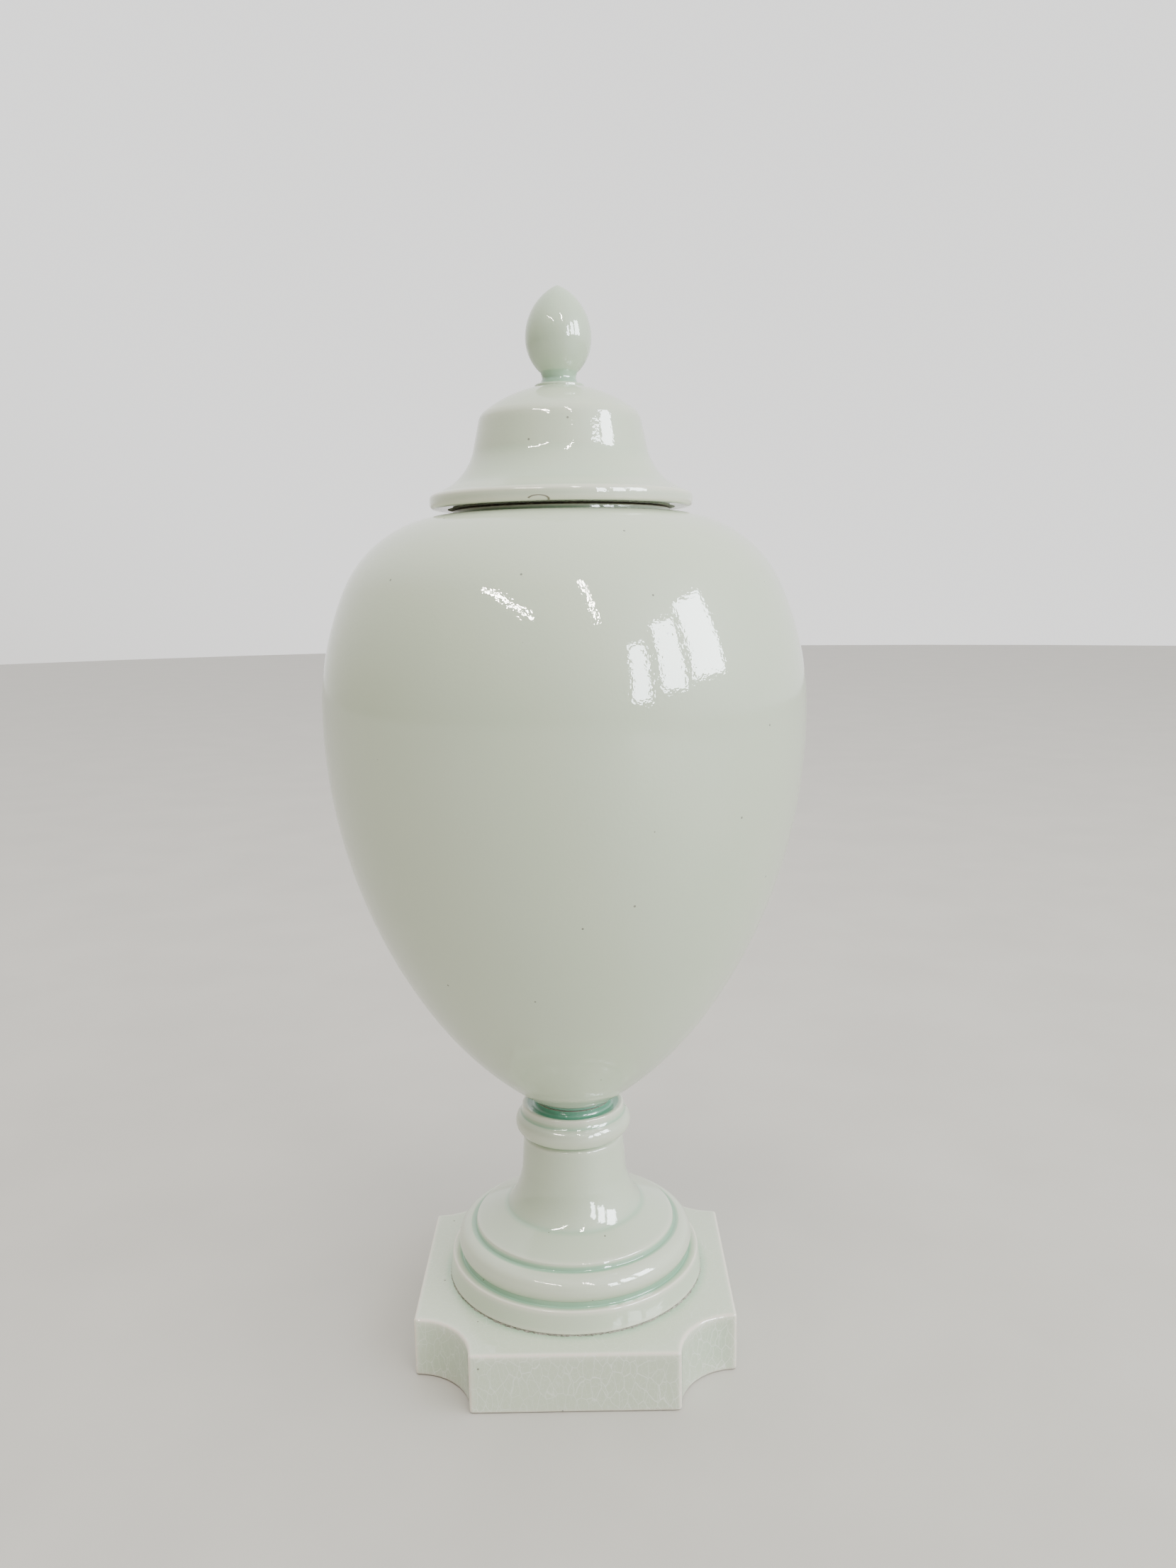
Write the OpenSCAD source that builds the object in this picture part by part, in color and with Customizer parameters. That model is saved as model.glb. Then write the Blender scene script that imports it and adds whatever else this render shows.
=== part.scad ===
// Lidded pedestal urn in pale celadon porcelain, standing on a square plinth with scooped corners.
// Millimetres, +Z up. The origin is the centre of the plinth's underside.

/* [Plinth] */
// Side of the square plinth
plinth_w = 92; // [86:1:112]
// Height of the plinth
plinth_h = 17.5; // [14:0.5:24]
// Radius of the quarter-round scoop at each corner
scoop_r = 17; // [12:0.5:20]
// Rounding of the plinth's edges under the glaze
plinth_round = 1; // [0.4:0.1:1.6]
// Wall around the hollow underside
plinth_wall = 6; // [4:0.5:8]
// Thickness of the slab under the pedestal
plinth_top = 5.5; // [4:0.5:7]

/* [Pedestal] */
// Height of the pedestal, from its bed to its seat under the urn
pedestal_h = 53.3; // [44:0.1:66]
// Radius of the foot band at its lower edge
band_r = 38.2; // [34:0.1:40]
// Height of the foot band
band_h = 6.6; // [5:0.1:8]
// How far the foot band leans in to its upper edge
band_lean = 1; // [0:0.1:1.5]
// Radius of the round of the large foot moulding
torus_round = 4.3; // [3:0.1:5.2]
// Depth of the groove behind the foot band's upper edge
band_groove = 0.8; // [0.3:0.1:1.5]
// Set-back of the large foot moulding from the band's upper edge
torus_setback = 2; // [0.5:0.1:2.5]
// Step from the large foot moulding up to the thin edge
fillet_step = 1.7; // [1:0.1:3]
// Radius of the thin edge around the top of the foot
fillet_r = 29.6; // [28:0.1:32]
// Rise from the thin edge to the crease at the stem's foot
top_rise = 4.3; // [3:0.1:5]
// Radius of that crease
crease_r = 20.4; // [20:0.1:21.5]
// Height of the corner that the sweep rounds, above the crease
sweep_rise = 5.2; // [5:0.1:7]
// Radius of the sweep from the crease up into the stem
stem_sweep = 19.5; // [12:0.5:19.5]
// Radius of the stem under its ring
stem_r = 14.9; // [13.5:0.1:15.5]
// Widening of the stem down to the sweep
stem_spread = 1.15; // [0.8:0.05:1.2]
// Radius of the ring around the top of the stem
ring_r = 17.2; // [16:0.1:21]
// Radius of the ring's own round
ring_round = 3.5; // [2.5:0.1:4]
// Radius of the pale inner edge on top of the ring
ring_lip_r = 14.75; // [14:0.05:16]
// Drop from the ring's inner edge to the middle of its round
ring_drop = 5.6; // [4.6:0.1:6.5]
// Radius of the collar in the recess between ring and urn
collar_r = 11.4; // [10.6:0.1:12]
// Height of the collar above the ring's inner edge
lip_drop = 1.2; // [0.6:0.1:2]
// Wall of the hollow foot
pedestal_wall = 4.6; // [3.5:0.1:6]

/* [Urn] */
// Largest radius of the urn
belly_r = 67.7; // [56:0.1:82]
// Height of the largest radius above the urn's base
belly_h = 115.9; // [95:0.1:140]
// Radius of the sharp edge around the urn's base
base_edge_r = 13.9; // [12:0.1:16]
// Height of that edge above the urn's base
base_edge_h = 1.8; // [0.8:0.1:2.4]
// Radius of the lower side, from the belly down
lower_arc = 153; // [130:1:180]
// Angle at which the lower side hands over to the curve that runs in to the base
lower_turn = 34; // [28:1:40]
// Radius of the upper side, from the belly up
side_arc = 86; // [75:1:110]
// Angle at which the upper side hands over to the shoulder
side_turn = 23.5; // [18:0.5:28]
// Radius of the shoulder's curve
shoulder_arc = 33.5; // [28:0.5:40]
// Wall of the urn
urn_wall = 4.5; // [3.5:0.1:6]
// Thickness of the urn's floor, where the tie bolt passes
floor_t = 7; // [6:0.1:9]
// Radius of the mouth
mouth_r = 26; // [22:0.1:29]
// Width of the bare seat around the mouth
seat_w = 4; // [3:0.1:6]
// Height of the seat above the shoulder
seat_h = 1.3; // [0.5:0.1:3]

/* [Lid] */
// Radius of the lid's rim
rim_r = 36.3; // [33:0.1:44]
// Thickness of the lid's rim
rim_t = 3.6; // [3:0.1:5]
// Rounding of the rim's edges
rim_round = 1.2; // [0.6:0.1:1.4]
// Height of the lid from its seat to the flat under the finial
lid_h = 32.1; // [26:0.1:40]
// Radius of the bell's shoulder
bell_r = 22; // [20:0.1:24]
// Rounding of the bell's shoulder
bell_round = 3.5; // [1:0.1:4]
// Radius at which the bell's side and flare would meet
flare_r = 25.4; // [23.5:0.1:28]
// Height of that meeting above the seat
flare_h = 9.1; // [7:0.1:11]
// Radius of the sweep that joins them
bell_sweep = 14; // [8:0.5:16]
// Radius of the domed crown
crown_arc = 34; // [28:0.5:45]
// Wall of the lid
lid_wall = 4; // [3:0.1:5]
// Depth of the locating flange below the seat
flange_h = 11; // [7:0.5:16]
// Wall of the locating flange
flange_wall = 3.4; // [2.5:0.1:4]
// Gap all round between flange and mouth
flange_gap = 0.8; // [0.5:0.1:1.5]
// Gap between the bare seats, left by grit and glaze
seat_gap = 0.2; // [0.1:0.1:0.5]

/* [Finial] */
// Height of the finial above the lid's crown
finial_h = 26.8; // [20:0.1:34]
// Largest radius of the bud
bud_r = 9.05; // [7:0.05:11]
// Height of the bud's largest radius above the crown
bud_h = 13; // [10:0.1:16]
// Radius of the bud's lower curve
bud_arc = 12; // [10:0.5:14]
// Radius of the neck under the bud
neck_r = 4.6; // [4:0.1:5.5]
// Radius of the small disc at the finial's foot
disc_r = 6.8; // [6:0.1:7.5]
// Thickness of that disc
disc_h = 0.8; // [0.6:0.1:1.6]
// Radius of the finial's stub in the crown
stub_r = 3; // [2:0.1:3.6]

/* [Fixings] */
// Radius of the tie bolt's shank
bolt_r = 3; // [2.5:0.5:4]
// Clearance around the bolt in the porcelain
bolt_clear = 1; // [0.5:0.1:2]
// Clearance of nut and washers on the bolt
thread_clear = 0.05; // [0.02:0.01:0.2]
// Width across flats of nut and bolt head
hex_w = 10; // [8:0.5:13]
// Height of the bolt's head
head_h = 4; // [3:0.5:5]
// Height of the nut
nut_h = 4; // [3:0.5:5]
// Length of bolt below the nut
bolt_tail = 1; // [0.5:0.5:3]
// Radius of the washers and their soft pads
washer_r = 9; // [8:0.5:11]
// Thickness of a washer
washer_t = 1.2; // [0.8:0.1:1.6]
// Thickness of a soft pad
pad_t = 1; // [0.5:0.1:1.5]
// Thickness of the gasket between pedestal and urn
gasket_t = 0.4; // [0.2:0.1:1]
// Set-back of the gasket from the collar
gasket_inset = 0.6; // [0.2:0.1:1]
// Thickness of the mortar bed between plinth and pedestal
bed_t = 0.4; // [0.2:0.1:1]
// Set-back of the bed from the foot band
bed_inset = 0.5; // [0.2:0.1:1]

/* [Hidden] */
$fn = 96;

// Heights of the stack, from the table up
pedestal_z = plinth_h + bed_t;
collar_z = pedestal_z + pedestal_h;
urn_z = collar_z + gasket_t;
floor_z = urn_z + floor_t;
belly_z = urn_z + belly_h;

// The urn's lower side is an arc that stands upright at the belly. Without a corner it hands over to a
// tighter arc, whose radius is the one that ends at the base edge.
base_edge = [base_edge_r, urn_z + base_edge_h];
lower_c = [belly_r - lower_arc, belly_z];
to_edge = base_edge - lower_c;
lower_end = [cos(lower_turn), -sin(lower_turn)];
in_arc = (to_edge * to_edge - 2 * lower_arc * (to_edge * lower_end) + lower_arc * lower_arc)
       / (2 * (lower_arc - to_edge * lower_end));
in_c = lower_c + (lower_arc - in_arc) * lower_end;
in_turn = asin((in_c[1] - base_edge[1]) / in_arc);
// The upper side and the shoulder are two more arcs that meet without a corner
side_c = [belly_r - side_arc, belly_z];
shoulder_c = side_c + (side_arc - shoulder_arc) * [cos(side_turn), sin(side_turn)];
seat_r = mouth_r + seat_w;
shoulder_end = acos(max(0, (seat_r - shoulder_c[0]) / shoulder_arc));
shoulder_z = shoulder_c[1] + shoulder_arc * sin(shoulder_end);
mouth_z = shoulder_z + seat_h;

// The lid stands on the mouth, and the finial on the lid
lid_z = mouth_z + seat_gap;
crown_z = lid_z + lid_h;
crown_flat = disc_r + 0.6;
crown_c = [0, crown_z - sqrt(crown_arc * crown_arc - crown_flat * crown_flat)];
flange_r = mouth_r - flange_gap;

// The tie bolt clamps the urn's floor to the plinth's top slab
hole_r = bolt_r + bolt_clear;
slab_z = plinth_h - plinth_top;
head_z = floor_z + pad_t + washer_t;
nut_z = slab_z - pad_t - washer_t - nut_h;

over = 1;
corner_steps = 5;

glaze = "#d3ded6";
glaze_pale = "#dde5de";
steel = "#b8babd";
pad_black = "#2b2b2b";
mortar = "#9a968d";

// Points along an arc about c, between two angles
function arc(c, r, from, to, n = 24) =
    [for (i = [0:n]) let (a = from + (to - from) * i / n) [c[0] + r * cos(a), c[1] + r * sin(a)]];

function xy(p) = [p[0], p[1]];
function unit(v) = v / norm(v);

// The arc that rounds corner q = [x, y, radius] between its neighbours p and s
function corner(p, q, s) =
    let (u = unit(xy(p) - xy(q)),
         v = unit(xy(s) - xy(q)),
         half = acos(u * v) / 2,
         c = xy(q) + unit(u + v) * q[2] / sin(half),
         a = xy(q) + u * q[2] / tan(half) - c,
         b = xy(q) + v * q[2] / tan(half) - c,
         start = atan2(a[1], a[0]),
         turn = (atan2(b[1], b[0]) - start + 540) % 360 - 180)
    arc(c, q[2], start, start + turn, corner_steps);

// A closed outline whose corners with a third number are rounded to that radius
function rounded(path) =
    let (n = len(path))
    [for (i = [0:n - 1])
        each len(path[i]) < 3 ? [path[i]] : corner(path[(i + n - 1) % n], path[i], path[(i + 1) % n])];

module ring(r, hole, h, z) {
    translate([0, 0, z]) difference() {
        cylinder(r = r, h = h);
        translate([0, 0, -over]) cylinder(r = hole, h = h + 2 * over);
    }
}

module hex(h, z) {
    translate([0, 0, z]) cylinder(r = hex_w / 2 / cos(30), h = h, $fn = 6);
}

module at_corners() {
    for (x = [-1, 1], y = [-1, 1]) translate([x, y, 0] * plinth_w / 2) children();
}

// The plinth's outline from one side, with its edges rounded
module plinth_side() {
    w = plinth_w / 2;
    e = plinth_round;
    polygon(rounded([[w, 0, e], [w, plinth_h, e], [-w, plinth_h, e], [-w, 0, e]]));
}

// What each scoop takes away, flaring at both ends to round the scoop's edges
module scoop() {
    e = plinth_round;
    r = scoop_r + e;
    rotate_extrude()
        polygon(concat([[0, -over], [r, -over]],
                       arc([r, e], e, 270, 180, corner_steps),
                       arc([r, plinth_h - e], e, 180, 90, corner_steps),
                       [[r, plinth_h + over], [0, plinth_h + over]]));
}

module plinth() {
    color(glaze) difference() {
        intersection() {
            rotate([90, 0, 0]) linear_extrude(plinth_w + 2 * over, center = true) plinth_side();
            rotate([90, 0, 90]) linear_extrude(plinth_w + 2 * over, center = true) plinth_side();
        }
        at_corners() scoop();
        translate([0, 0, -over]) linear_extrude(slab_z + over) difference() {
            square(plinth_w - 2 * plinth_wall, center = true);
            at_corners() circle(r = scoop_r + plinth_wall);
        }
        cylinder(r = hole_r, h = plinth_h + over);
    }
}

// Stations up the foot: band, groove, large moulding, groove, thin edge, sweep
band_top_r = band_r - band_lean;
band_top_z = pedestal_z + band_h;
foot_hollow_r = band_top_r - torus_setback - pedestal_wall;
torus_c = [band_top_r - torus_setback - torus_round, band_top_z - band_groove + torus_round];
fillet_z = torus_c[1] + torus_round + fillet_step;
crease = [crease_r, fillet_z + top_rise];
stem_foot = [stem_r + stem_spread, crease[1] + sweep_rise];
// Stations down from the top: collar, lip, ring, groove
lip_z = collar_z - lip_drop;
ring_c = [ring_r - ring_round, lip_z - ring_drop];
stem_top_z = ring_c[1] - ring_round;

function pedestal_outside() = concat(
    [[foot_hollow_r, pedestal_z],
     [band_r, pedestal_z, 0.4],
     [band_top_r, band_top_z, 0.5],
     [torus_c[0] + torus_round - 0.9, band_top_z - band_groove, 0.3]],
    arc(torus_c, torus_round, -40, 85, 12),
    [[fillet_r + 0.6, torus_c[1] + torus_round - 0.2, 0.3],
     [fillet_r, fillet_z, 0.5],
     [crease[0], crease[1], 1.5],
     [stem_foot[0], stem_foot[1], stem_sweep],
     [stem_r, stem_top_z - 1, 0.6]],
    arc(ring_c, ring_round, -88, 58, 12),
    [[ring_lip_r + 0.5, lip_z - 1.6, 0.3],
     [ring_lip_r + 0.3, lip_z - 0.1, 0.4],
     [ring_lip_r - 0.3, lip_z, 0.3],
     [collar_r, lip_z - 0.8, 0.8],
     [collar_r, collar_z]]);

function pedestal_inside() =
    [[hole_r, collar_z],
     [hole_r, stem_top_z, 1],
     [stem_r - pedestal_wall, stem_top_z - 4, 3],
     [stem_foot[0] - pedestal_wall, stem_foot[1] - 1.5, 12],
     [crease[0] - 0.9 * pedestal_wall, crease[1] - pedestal_wall, 2],
     [fillet_r - pedestal_wall, fillet_z - pedestal_wall, 3],
     [foot_hollow_r, torus_c[1] - torus_round, 1]];

module foot_bed() {
    color(mortar) ring(band_r - bed_inset, foot_hollow_r, bed_t, plinth_h);
}

module pedestal() {
    color(glaze_pale) rotate_extrude() polygon(rounded(concat(pedestal_outside(), pedestal_inside())));
}

module neck_gasket() {
    color(pad_black) ring(collar_r - gasket_inset, hole_r, gasket_t, collar_z);
}

function urn_outside() = concat(
    [[collar_r, urn_z],
     [collar_r, base_edge[1] - 0.6, 0.5]],
    arc(in_c, in_arc, -in_turn, -lower_turn, 8),
    arc(lower_c, lower_arc, -lower_turn, 0, 12),
    arc(side_c, side_arc, 0, side_turn, 7),
    arc(shoulder_c, shoulder_arc, side_turn, shoulder_end, 11),
    [[seat_r, mouth_z, 0.4],
     [mouth_r, mouth_z, 0.4]]);

// The inside runs parallel to the outside, down to a flat floor
inner_shoulder = shoulder_arc - urn_wall;
inner_in = in_arc - urn_wall;
neck_turn = acos(max(0, (mouth_r - shoulder_c[0]) / inner_shoulder));
floor_turn = asin((in_c[1] - floor_z) / inner_in);
floor_r = in_c[0] + inner_in * cos(floor_turn);

function urn_inside() = concat(
    [[mouth_r, shoulder_c[1] + inner_shoulder * sin(neck_turn), 0.8]],
    arc(shoulder_c, inner_shoulder, min(neck_turn, 84), side_turn, 10),
    arc(side_c, side_arc - urn_wall, side_turn, 0, 6),
    arc(lower_c, lower_arc - urn_wall, 0, -lower_turn, 10),
    arc(in_c, inner_in, -lower_turn, 2 - floor_turn, 7),
    [[floor_r, floor_z, 2],
     [hole_r, floor_z],
     [hole_r, urn_z]]);

module urn() {
    color(glaze_pale) rotate_extrude() polygon(rounded(concat(urn_outside(), urn_inside())));
}

// The bell's shoulder lies on the crown's own arc
bell_z = crown_c[1] + sqrt(crown_arc * crown_arc - bell_r * bell_r);
inner_crown = crown_arc - lid_wall;
stub_z = crown_c[1] + sqrt(inner_crown * inner_crown - stub_r * stub_r);

function lid_outside() = concat(
    [[flange_r - flange_wall, lid_z - flange_h],
     [flange_r, lid_z - flange_h, 0.6],
     [flange_r, lid_z],
     [rim_r, lid_z, rim_round],
     [rim_r, lid_z + rim_t, rim_round],
     [rim_r - 2, lid_z + rim_t + 0.6, 0.5],
     [flare_r, lid_z + flare_h, bell_sweep],
     [bell_r, bell_z, bell_round]],
    arc(crown_c, crown_arc, acos((bell_r - 1.5) / crown_arc), acos(crown_flat / crown_arc)),
    [[stub_r, crown_z]]);

function lid_inside() = concat(
    arc(crown_c, inner_crown, acos(stub_r / inner_crown), acos((bell_r - lid_wall - 1.5) / inner_crown)),
    [[bell_r - lid_wall, bell_z - lid_wall, 1],
     [flange_r - flange_wall, lid_z + flare_h, bell_sweep]]);

module lid() {
    color(glaze) rotate_extrude() polygon(rounded(concat(lid_outside(), lid_inside())));
}

// The bud is round below its largest radius and runs to a point above it
bud_z = crown_z + bud_h;
finial_z = crown_z + finial_h;
bud_rise = finial_h - bud_h;
bud_top_arc = (bud_rise * bud_rise + bud_r * bud_r) / (2 * bud_r);
bud_top_c = [bud_r - bud_top_arc, bud_z];
bud_low_c = [bud_r - bud_arc, bud_z];

function finial_outside() = concat(
    [[0, stub_z],
     [stub_r, stub_z],
     [stub_r, crown_z],
     [disc_r, crown_z],
     [disc_r, crown_z + disc_h, 0.4],
     [neck_r + 0.6, crown_z + disc_h + 0.4, 0.5],
     [neck_r, crown_z + disc_h + 1.6, 1]],
    arc(bud_low_c, bud_arc, -acos((neck_r + 0.4 + bud_arc - bud_r) / bud_arc), 0),
    arc(bud_top_c, bud_top_arc, 0, 0.94 * asin(bud_rise / bud_top_arc)),
    [[0, finial_z]]);

module finial() {
    color(glaze) rotate_extrude() polygon(rounded(finial_outside()));
}

module tie_bolt() {
    color(steel) {
        translate([0, 0, nut_z - bolt_tail]) cylinder(r = bolt_r, h = head_z - nut_z + bolt_tail);
        hex(head_h, head_z);
    }
}

module tie_nut() {
    color(steel) difference() {
        hex(nut_h, nut_z);
        translate([0, 0, nut_z - over]) cylinder(r = bolt_r + thread_clear, h = nut_h + 2 * over);
    }
}

module washers() {
    color(steel)
        for (z = [floor_z + pad_t, slab_z - pad_t - washer_t])
            ring(washer_r, bolt_r + thread_clear, washer_t, z);
}

module bolt_pads() {
    color(pad_black)
        for (z = [floor_z, slab_z - pad_t])
            ring(washer_r, bolt_r + bolt_clear / 2, pad_t, z);
}

plinth();
foot_bed();
pedestal();
neck_gasket();
urn();
lid();
finial();
tie_bolt();
tie_nut();
washers();
bolt_pads();
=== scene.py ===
# %% [markdown]
# A lidded porcelain urn on a turned pedestal and a square plinth.
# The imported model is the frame: it says where every piece sits and how large it is. This script gives each
# porcelain piece a smooth turned surface, a celadon glaze that pools and thins as the real one does, and lights it.

# %% The frame
import bmesh
import bpy
import math
import numpy as np
from mathutils import Matrix, Vector


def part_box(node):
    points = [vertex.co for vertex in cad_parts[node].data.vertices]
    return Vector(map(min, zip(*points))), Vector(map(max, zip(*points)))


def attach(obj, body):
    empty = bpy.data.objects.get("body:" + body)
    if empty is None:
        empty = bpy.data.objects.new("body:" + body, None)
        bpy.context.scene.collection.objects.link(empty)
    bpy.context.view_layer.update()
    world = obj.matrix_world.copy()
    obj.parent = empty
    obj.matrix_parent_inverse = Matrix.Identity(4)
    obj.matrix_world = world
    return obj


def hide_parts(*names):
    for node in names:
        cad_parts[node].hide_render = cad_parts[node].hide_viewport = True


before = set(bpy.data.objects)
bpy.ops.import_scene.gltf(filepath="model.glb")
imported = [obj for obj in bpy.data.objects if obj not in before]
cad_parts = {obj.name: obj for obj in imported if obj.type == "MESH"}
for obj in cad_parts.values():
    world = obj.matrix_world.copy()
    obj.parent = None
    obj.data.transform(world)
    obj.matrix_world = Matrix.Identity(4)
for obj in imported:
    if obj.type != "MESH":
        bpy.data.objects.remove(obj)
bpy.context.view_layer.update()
MM = 0.001

# %% [markdown]
# The camera stands a little above the urn's middle and looks slightly down on it from close by, so the plinth's
# top is seen at a steep angle while the lid is seen nearly level. A camera's own axes are right, up and back,
# so three vectors built from its turn, tilt and roll make its matrix.

# %% Camera
EYE = Vector((6.1, -342.6, 222.6)) * MM
TILT_DOWN = math.radians(9.38)
ROLL = math.radians(-0.93)
LENS = 27.72

ahead = Vector((0, math.cos(TILT_DOWN), -math.sin(TILT_DOWN)))
level = Vector((1, 0, 0))
upward = level.cross(ahead)
right = math.cos(ROLL) * level + math.sin(ROLL) * upward
up = math.cos(ROLL) * upward - math.sin(ROLL) * level
camera = bpy.data.objects.new("camera", bpy.data.cameras.new("camera"))
camera.data.sensor_fit = "VERTICAL"
camera.data.sensor_height = 36
camera.data.lens = LENS
camera.data.clip_start = 0.01
camera.matrix_world = Matrix.Translation(EYE) @ Matrix((right, up, -ahead)).transposed().to_4x4()
bpy.context.collection.objects.link(camera)
bpy.context.scene.camera = camera
print("camera at", tuple(round(c, 4) for c in EYE))

# %% [markdown]
# A material is a tree of nodes. Two helpers keep the trees readable: one turns a sRGB hex colour into the linear
# numbers that the shader wants, and one adds a node with its settings, its ramp's stops and its links in one line.

# %% Colour and node helpers
def linear(hex_colour):
    parts = [int(hex_colour[i:i + 2], 16) / 255 for i in (1, 3, 5)]
    return [c / 12.92 if c <= 0.04045 else ((c + 0.055) / 1.055) ** 2.4 for c in parts] + [1.0]


def add(tree, kind, settings=None, stops=None, **inputs):
    """A node of that kind. settings are its own fields, and stops are a colour ramp's (position, hex colour). The
    rest are values, or sockets to link, by input name, with _ for a space, or by number as i0, i1 and so on."""
    node = tree.nodes.new(kind)
    for field, value in (settings or {}).items():
        setattr(node, field, value)
    for place, (position, colour) in enumerate(stops or []):
        if place >= len(node.color_ramp.elements):
            node.color_ramp.elements.new(position)
        node.color_ramp.elements[place].position = position
        node.color_ramp.elements[place].color = linear(colour)
    for name, value in inputs.items():
        numbered = name[0] == "i" and name[1:].isdigit()
        socket = node.inputs[int(name[1:]) if numbered else name.replace("_", " ")]
        if isinstance(value, bpy.types.NodeSocket):
            tree.links.new(value, socket)
        else:
            socket.default_value = value
    return node


def new_tree(name):
    material = bpy.data.materials.new(name)
    material.use_nodes = True
    material.node_tree.nodes.clear()
    return material, material.node_tree


def cells_per_metre(size_mm):
    return 1 / (size_mm * MM)


# %% [markdown]
# Glazed porcelain is mostly seen by what it reflects, so the lights have the shapes of a room's: a window of three
# tall panes on the right, and two long ceiling tubes in front, which draw the narrow bright streaks. Those only
# show as reflections. Two larger, weaker panels in the same places do the lighting, without being seen. The studio
# itself is soft: it is brightest above, behind and to the right, and falls away to a warm dimness in front on the
# left, which gives the body its roundness. That is a gradient on the world, by direction.

# %% Floor and light
def area_light(name, place, along, length, width, radiance, colour, seen=True, lights=True):
    """A glowing rectangle, its long side along a direction, facing the middle of the urn."""
    light = bpy.data.lights.new(name, "AREA")
    light.shape = "RECTANGLE"
    light.size, light.size_y = width, length
    light.energy = radiance * math.pi * width * length
    light.color = colour
    lamp = bpy.data.objects.new(name, light)
    long_side = Vector(along).normalized()
    away = Vector(place) - Vector((0, 0, 0.18))
    back = (away - away.dot(long_side) * long_side).normalized()
    turn = Matrix((long_side.cross(back), long_side, back)).transposed().to_4x4()
    lamp.matrix_world = Matrix.Translation(place) @ turn
    lamp.visible_glossy = seen
    lamp.visible_diffuse = lights
    bpy.context.collection.objects.link(lamp)


DAYLIGHT = (0.90, 0.97, 1.0)
TUBE_WHITE = (1.0, 0.95, 0.86)
for place, name, height, width in ((-2.12, "window_far", 0.96, 0.36), (-1.22, "window_middle", 0.86, 0.42),
                                   (-0.56, "window_near", 0.82, 0.50)):
    area_light(name, (1.5, place, 0.88), (0, 0, 1), height, width, 42, DAYLIGHT, lights=False)
area_light("window_glow", (1.5, -0.9, 1.2), (0, 0, 1), 1.6, 2.4, 3.2, DAYLIGHT, seen=False)
area_light("tube_left", (-0.915, -1.716, 1.8), (0.675, -1.049, 0), 1.25, 0.045, 220, TUBE_WHITE, lights=False)
area_light("tube_right", (0.489, -1.735, 1.8), (0.504, -1.059, 0), 1.17, 0.045, 220, TUBE_WHITE, lights=False)
area_light("ceiling_glow", (-0.05, -0.55, 1.9), (1, 0, 0), 1.2, 1.2, 4.5, TUBE_WHITE, seen=False)

world = bpy.data.worlds.new("studio")
world.use_nodes = True
studio = world.node_tree
studio.nodes.clear()
BRIGHT_SIDE = Vector((0.40, 0.55, 0.75)).normalized()
outlook = add(studio, "ShaderNodeTexCoord").outputs["Generated"]
lean = add(studio, "ShaderNodeVectorMath", {"operation": "DOT_PRODUCT"}, i0=outlook, i1=BRIGHT_SIDE).outputs["Value"]
level_of_light = add(studio, "ShaderNodeMapRange", {"interpolation_type": "SMOOTHSTEP"}, Value=lean, i1=-0.75,
                     i2=0.55, i3=0.0, i4=1.0).outputs[0]
tone = add(studio, "ShaderNodeValToRGB", stops=[(0.0, "#a39468"), (1.0, "#f4f3f2")], Fac=level_of_light)
power = add(studio, "ShaderNodeMapRange", Value=level_of_light, i3=0.10, i4=1.75).outputs[0]
backdrop = add(studio, "ShaderNodeBackground", Color=tone.outputs["Color"], Strength=power)
add(studio, "ShaderNodeOutputWorld", Surface=backdrop.outputs[0])
bpy.context.scene.world = world

sheet = bmesh.new()
bmesh.ops.create_circle(sheet, cap_ends=True, radius=4, segments=64)
floor = bpy.data.objects.new("floor", bpy.data.meshes.new("floor"))
sheet.to_mesh(floor.data)
sheet.free()
bpy.context.collection.objects.link(floor)

# %% [markdown]
# The plinth's glaze has crazed: it shrank more than the clay, and cracked into a net of hair-thin pale lines, mostly
# upright ones. The edges of a Voronoi pattern make such a net. Two nets of different size are laid together, bent
# by noise so that no line is straight, and stretched upright.

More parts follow.
